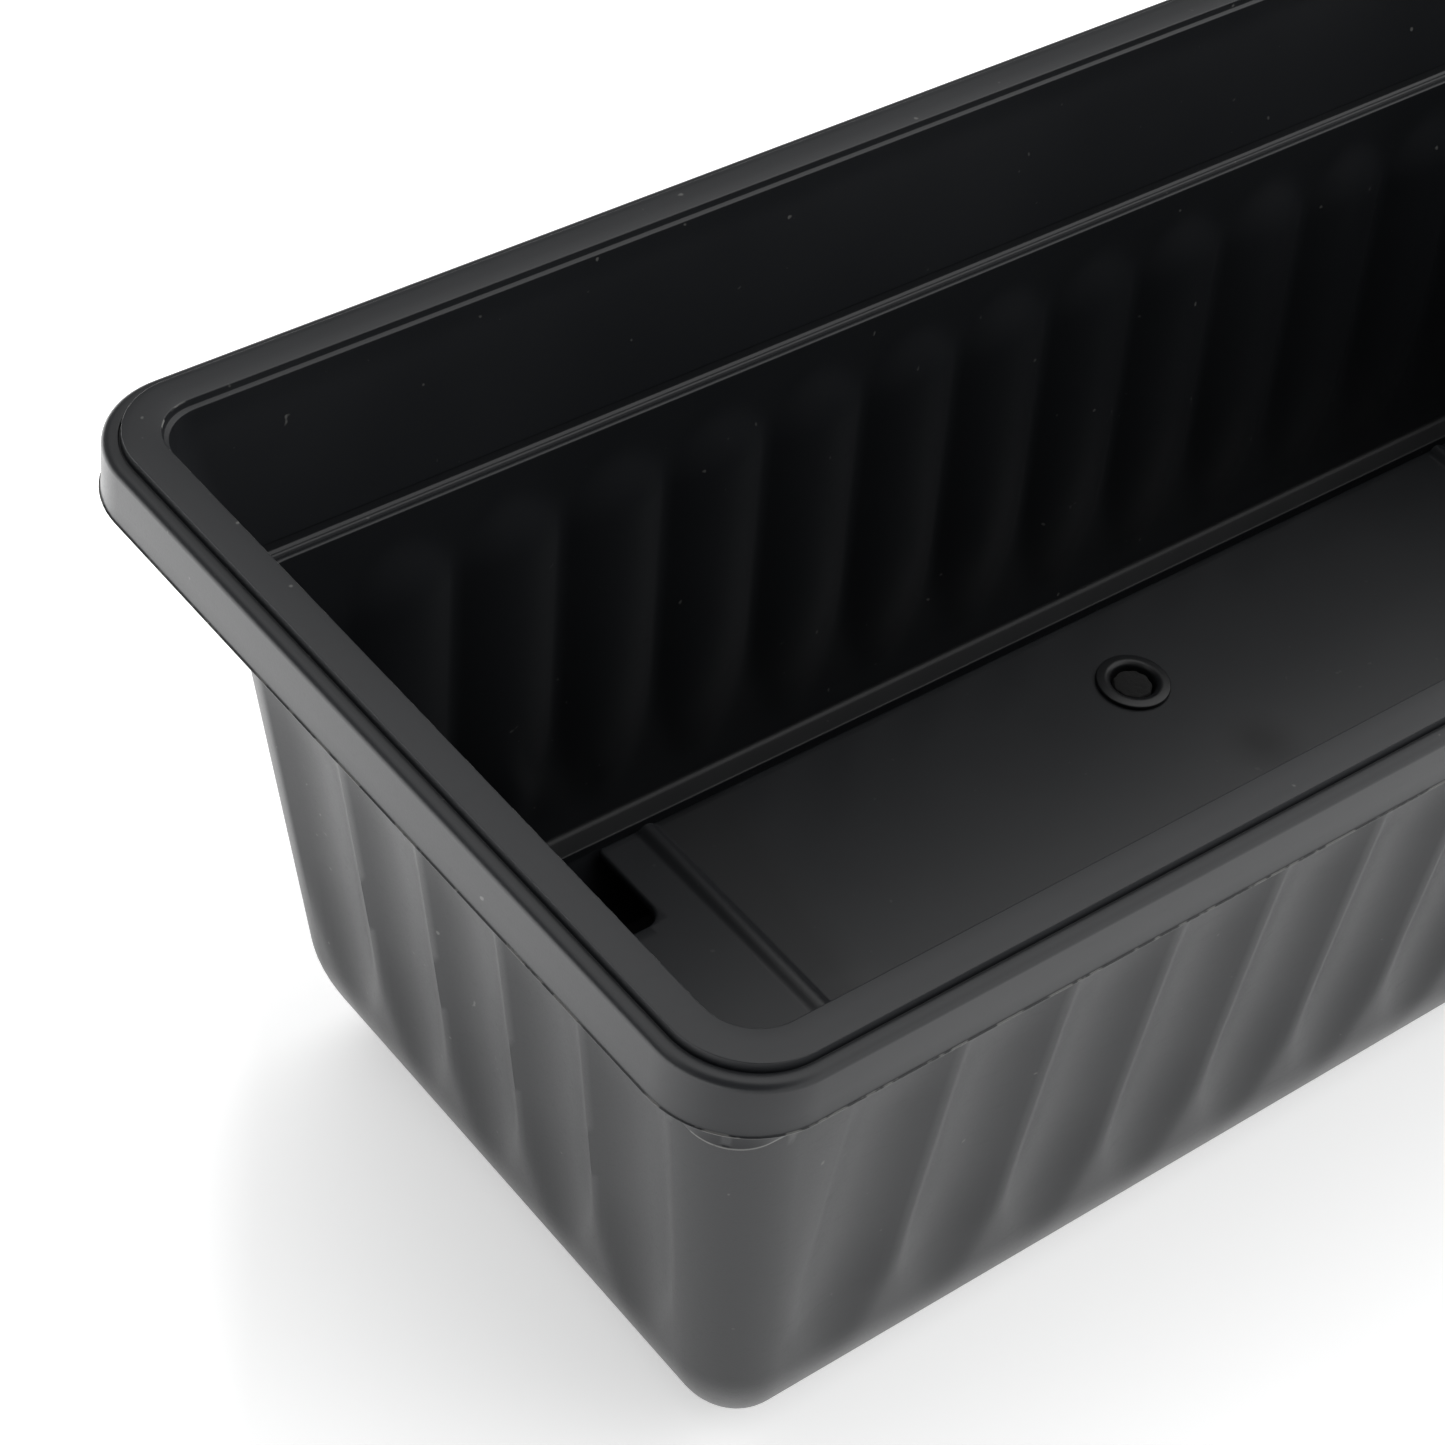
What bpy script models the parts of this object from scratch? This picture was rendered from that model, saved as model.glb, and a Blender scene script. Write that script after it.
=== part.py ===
"""Self-watering planter: a fluted rectangular box with a false floor over a shallow water reservoir.

Metres, +Z up. The origin is the middle of the underside, X runs along the planter and Y across it.
"""
import math

import bmesh
import bpy

MM = 0.001

# ---- Driving dimensions --------------------------------------------------------------------------
HEIGHT = 166 * MM              # rest plane to the raised flange
OPEN_LENGTH = 478 * MM         # mouth, between the flange's inner edges
OPEN_WIDTH = 179 * MM
RIM_WALL = 2.4 * MM
GAP = 0.3 * MM                 # clearance between neighbouring pieces

# Rim: a raised inner flange, a lower outer band and a hanging skirt
FLANGE_WIDTH = 7.0 * MM
RISER = 1.8 * MM
RIM_OVERHANG = 10.9 * MM
SKIRT_DEPTH = 14.0 * MM
SKIRT_DRAFT = 0.4 * MM
SHOULDER = 1.6 * MM
MOUTH_RADIUS = 10.5 * MM
RIM_RADIUS = 20.0 * MM
LIP_STEP = 1.0 * MM
LIP_DEPTH = 2.2 * MM

# Walls: inset from the mouth's edge at the skirt's foot, and draft below it (end walls, long walls)
TOP_INSET = (4.2 * MM, 6.7 * MM)
DRAFT = (0.183, 0.070)
SHELF_DEPTH = 38.0 * MM        # a narrow shelf inside, where the wall steps in
SHELF_WIDTH = 3.0 * MM
STEP_TOP = 38.6 * MM           # the same step outside, behind the skirt
STEP_FOOT = 39.8 * MM
UPPER_RADIUS = 12.5 * MM       # outer corner above the step
CORNER_STEP = 46.8 * MM        # at the corners a tighter radius runs on down to here
CORNER_RADIUS = 11.0 * MM
UPPER_WALL = 2.2 * MM          # above the step
LOWER_WALL = 3.0 * MM          # from the outer ridges to the inner face, just under the shelf
FOOT_WALL = 3.6 * MM           # at the ledge
TOP_RADIUS = 17.9 * MM
FOOT_RADIUS = 12.9 * MM
TURN_IN = 15.2 * MM            # how far the wall curves in at the foot
TURN_HEIGHT = 29.4 * MM
TURN_POWER = 1.68
SMALLEST_RADIUS = 4.0 * MM

# Flutes: shallow upright grooves that end in arches above the foot
FLUTE_DEPTH = 3.0 * MM
LONG_FLUTES = 15
LONG_PITCH = 26.67 * MM
END_FLUTES = 5
END_PITCH = 25.2 * MM
ARCH_START = 100 * MM          # depths below the top of the flange
ARCH_TIP = 140 * MM
SHALLOW_SHARE = 0.5            # of the full depth, where the outer grooves leave the step
BULGE_TOP = 43 * MM            # the grooves show inside as rounded bulges
BULGE_FULL = 60 * MM

# Reservoir and false floor
BASE = 2.6 * MM
LEDGE_TOP = 20.8 * MM
LEDGE_INSET = (36.8 * MM, 26.0 * MM)
LEDGE_RADIUS = 9.0 * MM
LEDGE_FILLET = 4.0 * MM
PLATE_TOP = 20.2 * MM
PLATE_THICK = 2.2 * MM
PLATE_GAP = 1.3 * MM
NOTCH = (62 * MM, 24 * MM)
NOTCH_RADIUS = 4.5 * MM
RIB_X = 126 * MM
RIB_WIDTH = 6.4 * MM
RIB_HEIGHT = 1.5 * MM
LEG_RADIUS = 4.0 * MM
LEG_X = (-176 * MM, -72 * MM, 72 * MM, 176 * MM)
LEG_Y = (-34 * MM, 34 * MM)
WICK_XY = ((0.0, 38.5 * MM), (0.0, -38.5 * MM))
COLLAR_RADIUS = 9.0 * MM
COLLAR_HEIGHT = 2.0 * MM
NECK_RADIUS = 6.4 * MM
COLLAR_BORE = 5.3 * MM
DRAIN_X = 150 * MM
DRAIN_RADIUS = 8.0 * MM

CORNER_STEPS = 5


# ---- Helpers -------------------------------------------------------------------------------------
def clear_scene():
    for thing in list(bpy.data.objects):
        bpy.data.objects.remove(thing, do_unlink=True)


def plastic(name, colour, roughness):
    material = bpy.data.materials.new(name)
    material.use_nodes = True
    shader = material.node_tree.nodes["Principled BSDF"]
    shader.inputs["Base Color"].default_value = (*colour, 1.0)
    shader.inputs["Roughness"].default_value = roughness
    shader.inputs["Metallic"].default_value = 0.0
    return material


def make_object(name, bm, material, location=(0, 0, 0)):
    bmesh.ops.recalc_face_normals(bm, faces=bm.faces)
    mesh = bpy.data.meshes.new(name)
    bm.to_mesh(mesh)
    bm.free()
    mesh.materials.append(material)
    thing = bpy.data.objects.new(name, mesh)
    thing.location = location
    bpy.context.collection.objects.link(thing)
    return thing


def loft(rings):
    """A closed solid through rings of equal point counts, capped at both ends."""
    bm = bmesh.new()
    loops = [[bm.verts.new(point) for point in ring] for ring in rings]
    for low, high in zip(loops, loops[1:]):
        for i in range(len(low)):
            j = (i + 1) % len(low)
            bm.faces.new((low[i], low[j], high[j], high[i]))
    bm.faces.new(loops[0])
    bm.faces.new(loops[-1])
    return bm


def turned(profile, segments=28):
    """A turned solid from (radius, height) points, listed from its foot to its top."""
    rings = []
    for radius, height in profile:
        angles = [2 * math.pi * i / segments for i in range(segments)]
        rings.append([(radius * math.cos(a), radius * math.sin(a), height) for a in angles])
    return loft(rings)


def tube(profile, segments=28):
    """A turned solid around an open bore: the profile is one closed loop of (radius, height)."""
    bm = bmesh.new()
    loops = []
    for i in range(segments):
        a = 2 * math.pi * i / segments
        loops.append([bm.verts.new((r * math.cos(a), r * math.sin(a), z)) for r, z in profile])
    for i in range(segments):
        here, there = loops[i], loops[(i + 1) % segments]
        for k in range(len(profile)):
            m = (k + 1) % len(profile)
            bm.faces.new((here[k], there[k], there[m], here[m]))
    return bm


def combine(target, tool, operation):
    """A Boolean on target, with tool hidden as its cutter or its addition."""
    tool.hide_render = True
    tool.display_type = "WIRE"
    modifier = target.modifiers.new(tool.name, "BOOLEAN")
    modifier.operation = operation
    modifier.object = tool


# ---- Shape of the box ----------------------------------------------------------------------------
def turn_in(depth):
    """How far the outer wall has curved in at this depth below the top."""
    h = (depth - (HEIGHT - TURN_HEIGHT)) / TURN_HEIGHT
    h = min(max(h, 0.0), 1.0)
    return TURN_IN * (1 - (1 - h ** TURN_POWER) ** (1 / TURN_POWER))


def wall_inset(depth):
    """Outer wall's inset from the mouth's edge at a depth: (end walls, long walls)."""
    below = depth - SKIRT_DEPTH
    return tuple(top + draft * below + turn_in(depth) for top, draft in zip(TOP_INSET, DRAFT))


def wall_radius(depth):
    """Radius of the wall's upright corners, from which the inside takes its own."""
    share = (depth - SKIRT_DEPTH) / (HEIGHT - SKIRT_DEPTH)
    radius = TOP_RADIUS + (FOOT_RADIUS - TOP_RADIUS) * share - 0.6 * turn_in(depth)
    return max(radius, SMALLEST_RADIUS)


def wall_thickness(depth):
    """Wall under the shelf, measured from the outer ridges: it tapers towards the foot."""
    share = (depth - SHELF_DEPTH) / (HEIGHT - LEDGE_TOP - SHELF_DEPTH)
    return LOWER_WALL + (FOOT_WALL - LOWER_WALL) * min(share, 1.0)


def fade(depth, start, full):
    return min(max((depth - start) / (full - start), 0.0), 1.0)


def flute_amount(depth, inside):
    """Depth of the grooves' middle line, fading in an arch at the foot and again towards the top."""
    foot = 1 - fade(depth, ARCH_START, ARCH_TIP) ** 2
    if inside:
        top = 1 - (1 - fade(depth, BULGE_TOP, BULGE_FULL)) ** 2
    else:
        top = SHALLOW_SHARE + (1 - SHALLOW_SHARE) * fade(depth, STEP_FOOT, BULGE_FULL)
    return FLUTE_DEPTH * foot * top


def side_points(half_run, pitch, count, limit, groove):
    """(along, inset) points over a fluted side: ridges at 0 and valleys at groove, squeezed to limit."""
    squeeze = min(1.0, limit / half_run)
    points = []
    for j in range(2 * count + 1):
        along = (-half_run + 0.5 * j * pitch) * squeeze
        points.append((along, groove if j % 2 else 0.0))
    return points


def ring(inset_x, inset_y, radius, z, groove=0.0):
    """One level of the box: a rounded rectangle with grooves, always with the same point count."""
    half_x = OPEN_LENGTH / 2 - inset_x
    half_y = OPEN_WIDTH / 2 - inset_y
    tiny = 0.5 * MM
    along_x = side_points(LONG_FLUTES * LONG_PITCH / 2, LONG_PITCH, LONG_FLUTES,
                          half_x - radius - tiny, groove)
    along_y = side_points(END_FLUTES * END_PITCH / 2, END_PITCH, END_FLUTES,
                          half_y - radius - tiny, groove)
    corner_x = half_x - radius
    corner_y = half_y - radius
    points = [(a, -half_y + g, z) for a, g in along_x]
    points += arc(corner_x, -corner_y, radius, -90, z)
    points += [(half_x - g, a, z) for a, g in along_y]
    points += arc(corner_x, corner_y, radius, 0, z)
    points += [(-a, half_y - g, z) for a, g in along_x]
    points += arc(-corner_x, corner_y, radius, 90, z)
    points += [(-half_x + g, -a, z) for a, g in along_y]
    points += arc(-corner_x, -corner_y, radius, 180, z)
    return points


def arc(x, y, radius, start, z):
    points = []
    for i in range(CORNER_STEPS + 1):
        a = math.radians(start + 90 * i / CORNER_STEPS)
        points.append((x + radius * math.cos(a), y + radius * math.sin(a), z))
    return points


def outer_level(depth):
    inset_x, inset_y = wall_inset(depth)
    radius = CORNER_RADIUS if depth <= CORNER_STEP else wall_radius(depth)
    return ring(inset_x, inset_y, radius, HEIGHT - depth, flute_amount(depth, False))


def inner_level(depth, wall):
    inset_x, inset_y = wall_inset(depth)
    radius = max(wall_radius(depth) - wall, SMALLEST_RADIUS)
    return ring(inset_x + wall, inset_y + wall, radius, HEIGHT - depth, flute_amount(depth, True))


def upper_level(inset, radius, depth):
    """A plain level of the wall above the step, moved in from the shelf's inner edge."""
    inset_x, inset_y = (value + LOWER_WALL - SHELF_WIDTH + inset for value in wall_inset(SHELF_DEPTH))
    return ring(inset_x, inset_y, radius, HEIGHT - depth)


def rim_level(out, z):
    """A level of the rim, out from the mouth's edge."""
    share = max(out, 0.0) / RIM_OVERHANG
    radius = MOUTH_RADIUS + (RIM_RADIUS - MOUTH_RADIUS) * share
    return ring(-out, -out, radius, z)


def planter_box_rings():
    """Every level of the box, up the outside, over the rim and down the inside."""
    band = HEIGHT - RISER
    outside = (HEIGHT, HEIGHT - 4 * MM, HEIGHT - 12 * MM, ARCH_TIP, 127 * MM, ARCH_START,
               BULGE_FULL, CORNER_STEP + 0.6 * MM, CORNER_STEP, STEP_FOOT)
    rings = [outer_level(depth) for depth in outside]
    rings.append(upper_level(-UPPER_WALL, UPPER_RADIUS, STEP_TOP))
    rings += rim_rings(band)
    rings.append(upper_level(0.0, UPPER_RADIUS - UPPER_WALL, SHELF_DEPTH - 0.2 * MM))
    rings += [inner_level(depth, wall_thickness(depth))
              for depth in (SHELF_DEPTH, BULGE_TOP, BULGE_FULL, ARCH_START, 127 * MM)]
    rings += reservoir_rings()
    return rings


def rim_rings(band):
    """The skirt's inner face, its outer face, the band, the raised flange and the lip."""
    skirt_foot = HEIGHT - SKIRT_DEPTH
    skirt_in = RIM_OVERHANG - RIM_WALL
    skirt_top = RIM_OVERHANG - SKIRT_DRAFT
    return [
        rim_level(2 * MM, band - RIM_WALL),
        rim_level(skirt_in - SHOULDER, band - RIM_WALL),
        rim_level(skirt_in, band - RIM_WALL - SHOULDER),
        rim_level(skirt_in, skirt_foot),
        rim_level(RIM_OVERHANG, skirt_foot),
        rim_level(skirt_top, band - SHOULDER),
        rim_level(skirt_top - SHOULDER, band),
        rim_level(FLANGE_WIDTH + 0.3 * MM, band),
        rim_level(FLANGE_WIDTH, HEIGHT),
        rim_level(0.0, HEIGHT),
        rim_level(-0.2 * MM, HEIGHT - LIP_DEPTH * 0.5),
        rim_level(-LIP_STEP, HEIGHT - LIP_DEPTH),
    ]


def reservoir_rings():
    """The ledge round the false floor, and the basin under it."""
    ledge_depth = HEIGHT - LEDGE_TOP
    fillet_top = ledge_depth - LEDGE_FILLET
    top_x, top_y = wall_inset(fillet_top)
    radius = wall_radius(ledge_depth) - FOOT_WALL
    edge_x, edge_y = LEDGE_INSET
    slope = 7.5 * MM
    rings = [inner_level(fillet_top, FOOT_WALL)]
    for inward, height in ((0.3, 0.3), (1.0, 0.0)):
        inset = FOOT_WALL + LEDGE_FILLET * inward
        rings.append(ring(top_x + inset, top_y + inset, radius, LEDGE_TOP + LEDGE_FILLET * height))
    for inset, height in ((0.0, LEDGE_TOP), (0.4 * MM, LEDGE_TOP - 2 * MM), (slope, BASE + 3 * MM),
                          (slope + 3 * MM, BASE)):
        rings.append(ring(edge_x + inset, edge_y + inset, LEDGE_RADIUS, height))
    return rings


# ---- Pieces --------------------------------------------------------------------------------------
def planter_box(material):
    box = make_object("planter_box", loft(planter_box_rings()), material)
    for side in (-1, 1):
        drill = make_object("cutter_drain_hole", turned([(DRAIN_RADIUS, -5 * MM), (DRAIN_RADIUS, 8 * MM)]),
                            material, (side * DRAIN_X, 0, 0))
        combine(box, drill, "DIFFERENCE")
    return box


def plate_outline(z):
    """The false floor's outline with its corner notch, anticlockwise from the near left corner."""
    half_x = OPEN_LENGTH / 2 - LEDGE_INSET[0] - PLATE_GAP
    half_y = OPEN_WIDTH / 2 - LEDGE_INSET[1] - PLATE_GAP
    corner = LEDGE_RADIUS - PLATE_GAP
    notch_x = -half_x + NOTCH[0]
    notch_y = half_y - NOTCH[1]
    points = arc(-half_x + corner, -half_y + corner, corner, 180, z)
    points += arc(half_x - corner, -half_y + corner, corner, -90, z)
    points += arc(half_x - corner, half_y - corner, corner, 0, z)
    tip = 1.2 * MM
    points += arc(notch_x + tip, half_y - tip, tip, 90, z)
    for i in range(CORNER_STEPS + 1):
        a = math.radians(0 - 90 * i / CORNER_STEPS)
        points.append((notch_x - NOTCH_RADIUS + NOTCH_RADIUS * math.cos(a),
                       notch_y + NOTCH_RADIUS + NOTCH_RADIUS * math.sin(a), z))
    points += arc(-half_x + tip, notch_y - tip, tip, 90, z)
    return points


def rib(material, x):
    """A low rounded bead across the false floor."""
    half_y = OPEN_WIDTH / 2 - LEDGE_INSET[1] - PLATE_GAP - 0.4 * MM
    rings = []
    for y in (-half_y, half_y):
        section = []
        for i in range(7):
            a = math.pi * i / 6
            section.append((x + RIB_WIDTH / 2 * math.cos(a), y, PLATE_TOP + RIB_HEIGHT * math.sin(a)))
        section.append((x - RIB_WIDTH / 2, y, PLATE_TOP - 1 * MM))
        section.append((x + RIB_WIDTH / 2, y, PLATE_TOP - 1 * MM))
        rings.append(section)
    return make_object("cutter_rib", loft(rings), material)


def reservoir_plate(material):
    underside = PLATE_TOP - PLATE_THICK
    plate = make_object("reservoir_plate", loft([plate_outline(underside), plate_outline(PLATE_TOP)]),
                        material)
    for x in (-RIB_X, RIB_X):
        combine(plate, rib(material, x), "UNION")
    leg = [(LEG_RADIUS, BASE + GAP), (LEG_RADIUS + 0.3 * MM, underside + 1 * MM)]
    for x in LEG_X:
        for y in LEG_Y:
            combine(plate, make_object("cutter_leg", turned(leg, 12), material, (x, y, 0)), "UNION")
    for x, y in WICK_XY:
        hole = [(NECK_RADIUS + GAP, underside - 2 * MM), (NECK_RADIUS + GAP, PLATE_TOP + 2 * MM)]
        combine(plate, make_object("cutter_wick_hole", turned(hole), material, (x, y, 0)), "DIFFERENCE")
    return plate


def wick_collar(name, material, x, y):
    """A flanged ring pressed into the false floor, which holds a wick."""
    seat = PLATE_TOP + GAP
    top = PLATE_TOP + COLLAR_HEIGHT
    foot = PLATE_TOP - PLATE_THICK - 3 * MM
    profile = [
        (COLLAR_BORE, foot), (NECK_RADIUS - 0.4 * MM, foot), (NECK_RADIUS, foot + 0.8 * MM),
        (NECK_RADIUS, seat), (COLLAR_RADIUS, seat), (COLLAR_RADIUS - 0.3 * MM, seat + 0.7 * MM),
        (COLLAR_RADIUS - 1.3 * MM, top), (COLLAR_BORE + 0.9 * MM, top), (COLLAR_BORE, top - 0.8 * MM),
    ]
    return make_object(name, tube(profile), material, (x, y, 0))


def wick(name, material, x, y):
    """A compressed fibre rod that stands in the water and rises into the soil."""
    radius = COLLAR_BORE - GAP
    top = PLATE_TOP + 0.2 * MM
    profile = [(radius - 0.6 * MM, BASE + GAP), (radius, BASE + GAP + 0.8 * MM),
               (radius, top - 0.6 * MM), (radius - 1.2 * MM, top)]
    return make_object(name, turned(profile, 20), material, (x, y, 0))


def drain_plug(name, material, x):
    """A soft plug in the base, with a flange inside the basin and a stub to pull it by."""
    stem = DRAIN_RADIUS - GAP
    seat = BASE + GAP
    profile = [
        (stem - 0.8 * MM, 0.6 * MM), (stem, 1.2 * MM), (stem, seat), (DRAIN_RADIUS + 2.5 * MM, seat),
        (DRAIN_RADIUS + 2.5 * MM, seat + 1.2 * MM), (DRAIN_RADIUS + 1.9 * MM, seat + 1.6 * MM),
        (4.0 * MM, seat + 1.8 * MM), (3.4 * MM, seat + 4.2 * MM), (4.4 * MM, seat + 5.4 * MM),
        (3.8 * MM, seat + 6.4 * MM),
    ]
    return make_object(name, turned(profile), material, (x, 0, 0))


def main():
    clear_scene()
    charcoal = (0.022, 0.024, 0.027)
    planter_box(plastic("box_plastic", charcoal, 0.42))
    reservoir_plate(plastic("plate_plastic", (0.024, 0.026, 0.029), 0.34))
    for name, (x, y) in zip(("rear", "front"), WICK_XY):
        wick_collar(f"wick_collar_{name}", plastic(f"collar_plastic_{name}", charcoal, 0.3), x, y)
        wick(f"wick_{name}", plastic(f"fibre_{name}", (0.05, 0.048, 0.045), 0.9), x, y)
    for name, x in (("left", -DRAIN_X), ("right", DRAIN_X)):
        drain_plug(f"drain_plug_{name}", plastic(f"plug_rubber_{name}", (0.015, 0.015, 0.016), 0.6), x)


main()
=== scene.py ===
"""Looks of the self-watering planter: fine meshes, moulded-plastic materials, studio and camera.

Metres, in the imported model's frame: +Z up, X along the planter, origin in the middle of the underside.
"""
import math

import bmesh
import bpy
from mathutils import Matrix, Vector, noise


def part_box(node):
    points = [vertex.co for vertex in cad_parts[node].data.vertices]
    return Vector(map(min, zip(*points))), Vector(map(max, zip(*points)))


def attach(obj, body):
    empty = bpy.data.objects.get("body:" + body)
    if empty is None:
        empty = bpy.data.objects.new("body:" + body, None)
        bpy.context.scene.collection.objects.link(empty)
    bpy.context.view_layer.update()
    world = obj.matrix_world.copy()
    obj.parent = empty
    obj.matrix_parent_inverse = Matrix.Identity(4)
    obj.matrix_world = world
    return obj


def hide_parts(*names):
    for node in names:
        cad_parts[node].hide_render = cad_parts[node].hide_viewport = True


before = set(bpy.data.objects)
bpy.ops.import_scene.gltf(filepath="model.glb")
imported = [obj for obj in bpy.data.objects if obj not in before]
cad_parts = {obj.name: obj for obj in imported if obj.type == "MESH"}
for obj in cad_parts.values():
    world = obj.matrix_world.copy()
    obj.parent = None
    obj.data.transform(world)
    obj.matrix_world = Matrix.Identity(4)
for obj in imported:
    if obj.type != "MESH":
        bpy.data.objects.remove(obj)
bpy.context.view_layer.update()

MM = 0.001
BOX_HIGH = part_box("planter_box")[1]
HEIGHT = BOX_HIGH[2]

# ---- Rim -----------------------------------------------------------------------------------------
RIM_OVERHANG = 10.9 * MM
HALF_X = BOX_HIGH[0] - RIM_OVERHANG        # mouth's edge
HALF_Y = BOX_HIGH[1] - RIM_OVERHANG
FLANGE_WIDTH = 7.0 * MM
RISER = 1.8 * MM
SKIRT_DEPTH = 14.0 * MM
SKIRT_DRAFT = 0.4 * MM
SHOULDER = 1.6 * MM
RIM_WALL = 2.4 * MM
MOUTH_RADIUS = 10.5 * MM
RIM_RADIUS = 20.0 * MM
LIP_STEP = 1.0 * MM
LIP_DEPTH = 2.2 * MM
CREVICE = 0.45 * MM                         # narrow groove at the foot of the riser

# ---- Walls (end walls, long walls) ---------------------------------------------------------------
TOP_INSET = (4.2 * MM, 6.7 * MM)
DRAFT = (0.183, 0.070)
SHELF_DEPTH = 38.0 * MM
SHELF_WIDTH = 3.0 * MM
STEP_TOP = 38.6 * MM
STEP_FOOT = 39.8 * MM
UPPER_RADIUS = 12.5 * MM
CORNER_STEP = 46.8 * MM                    # at the corners a tighter radius runs on down to here
CORNER_RADIUS = 11.0 * MM
FLASH = 0.35 * MM                          # thin lip left along a moulded edge
UPPER_WALL = 2.2 * MM
LOWER_WALL = 3.0 * MM
FOOT_WALL = 3.6 * MM
TOP_RADIUS = 17.9 * MM
FOOT_RADIUS = 12.9 * MM
TURN_IN = 15.2 * MM
TURN_HEIGHT = 29.4 * MM
TURN_POWER = 1.68
SMALLEST_RADIUS = 4.0 * MM

# ---- Flutes --------------------------------------------------------------------------------------
FLUTE_DEPTH = 3.0 * MM
FLUTE_STEPS = 14
LONG_FLUTES = 15
LONG_PITCH = 26.67 * MM
END_FLUTES = 5
END_PITCH = 25.2 * MM
ARCH_START = 100 * MM
ARCH_TIP = 140 * MM
SHALLOW_SHARE = 0.5                        # of the full depth, where the grooves leave the step
BULGE_TOP = 36 * MM                        # inside, the grooves show as bulges with domed tops
BULGE_FULL = 61 * MM
CLOSED = -0.45                             # flute level at which nothing is left of a groove
CUSP = 0.16                                # how softly a ridge or an arch's edge is rounded
CORNER_STEPS = 18

# ---- Floor ---------------------------------------------------------------------------------------
BASE = 2.6 * MM
LEDGE_TOP = 20.8 * MM
LEDGE_INSET = (36.8 * MM, 26.0 * MM)
LEDGE_RADIUS = 9.0 * MM
LEDGE_FILLET = 1.6 * MM
BASIN_RADIUS = 7 * MM                       # smallest corner radius of the fillet
DRAIN_X = 150 * MM
DRAIN_RADIUS = 8.0 * MM
ROUND_HOLE = 48                             # segments of a drilled hole


# ---- Small helpers -------------------------------------------------------------------------------
def fade(value, start, full):
    return min(max((value - start) / (full - start), 0.0), 1.0)


def smooth(value, start, full):
    t = fade(value, start, full)
    return t * t * (3 - 2 * t)


def hump(distance, width):
    """A smooth bump of height 1 that is 0 at width."""
    t = min(abs(distance) / width, 1.0)
    return (1 - t * t) ** 2


def make_piece(name, bm, material, body, nodes, sharp_angle=38):
    """A finished piece: shaded, given its material, standing for its CAD node and riding its body."""
    bmesh.ops.recalc_face_normals(bm, faces=bm.faces)
    mesh = bpy.data.meshes.new(name)
    bm.to_mesh(mesh)
    bm.free()
    mesh.materials.append(material)
    mesh.shade_smooth()
    mesh.set_sharp_from_angle(angle=math.radians(sharp_angle))
    piece = bpy.data.objects.new(name, mesh)
    bpy.context.scene.collection.objects.link(piece)
    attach(piece, body)
    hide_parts(*nodes)
    return piece


def loft(rings):
    """A skin through rings of equal point counts, closed at both ends."""
    bm = bmesh.new()
    loops = [[bm.verts.new(point) for point in ring] for ring in rings]
    count = len(loops[0])
    for low, high in zip(loops, loops[1:]):
        for i in range(count):
            j = (i + 1) % count
            bm.faces.new((low[i], low[j], high[j], high[i]))
    bm.faces.new(loops[0])
    bm.faces.new(loops[-1])
    return bm


def turned_loop(profile, segments, centre):
    """A turned solid whose section is one closed loop of (radius, height), round an open bore."""
    bm = bmesh.new()
    loops = []
    for i in range(segments):
        a = 2 * math.pi * i / segments
        points = [(centre[0] + r * math.cos(a), centre[1] + r * math.sin(a), z) for r, z in profile]
        loops.append([bm.verts.new(point) for point in points])
    for i in range(segments):
        here, there = loops[i], loops[(i + 1) % segments]
        for k in range(len(profile)):
            m = (k + 1) % len(profile)
            bm.faces.new((here[k], there[k], there[m], here[m]))
    return bm


def turned(profile, segments, centre):
    """A turned solid from (radius, height) points, closed at both ends."""
    angles = [2 * math.pi * i / segments for i in range(segments)]
    rings = [[(centre[0] + radius * math.cos(a), centre[1] + radius * math.sin(a), height) for a in angles]
             for radius, height in profile]
    return loft(rings)


def rounded(points, radius, steps=4):
    """An open run of (out, z) points with each inner corner rounded."""
    result = [points[0]]
    for before, corner, after in zip(points, points[1:], points[2:]):
        here = Vector(corner)
        back = Vector(before) - here
        on = Vector(after) - here
        reach = min(radius, back.length * 0.45, on.length * 0.45)
        start = here + back.normalized() * reach
        end = here + on.normalized() * reach
        for i in range(steps + 1):
            t = i / steps
            point = start * (1 - t) ** 2 + here * 2 * t * (1 - t) + end * t ** 2
            result.append(tuple(point))
    result.append(points[-1])
    return result


def add_mesh(target, extra):
    part = bpy.data.meshes.new("part")
    extra.to_mesh(part)
    extra.free()
    target.from_mesh(part)
    bpy.data.meshes.remove(part)
    bmesh.ops.recalc_face_normals(target, faces=target.faces)


def apply_cut(piece, cutter_bm):
    """Cuts a mesh out of a piece and applies the result."""
    mesh = bpy.data.meshes.new("cutter")
    cutter_bm.to_mesh(mesh)
    cutter_bm.free()
    cutter = bpy.data.objects.new("cutter", mesh)
    bpy.context.scene.collection.objects.link(cutter)
    modifier = piece.modifiers.new("cut", "BOOLEAN")
    modifier.operation = "DIFFERENCE"
    modifier.object = cutter
    bpy.context.view_layer.update()
    evaluated = piece.evaluated_get(bpy.context.evaluated_depsgraph_get())
    result = bpy.data.meshes.new_from_object(evaluated)
    piece.modifiers.remove(modifier)
    old = piece.data
    result.name = old.name
    piece.data = result
    bpy.data.meshes.remove(old)
    bpy.data.objects.remove(cutter)
    bpy.data.meshes.remove(mesh)


# ---- Shape of the box ----------------------------------------------------------------------------
def turn_in(depth):
    h = fade(depth, HEIGHT - TURN_HEIGHT, HEIGHT)
    return TURN_IN * (1 - (1 - h ** TURN_POWER) ** (1 / TURN_POWER))


def wall_inset(depth):
    below = depth - SKIRT_DEPTH
    return tuple(top + draft * below + turn_in(depth) for top, draft in zip(TOP_INSET, DRAFT))


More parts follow.
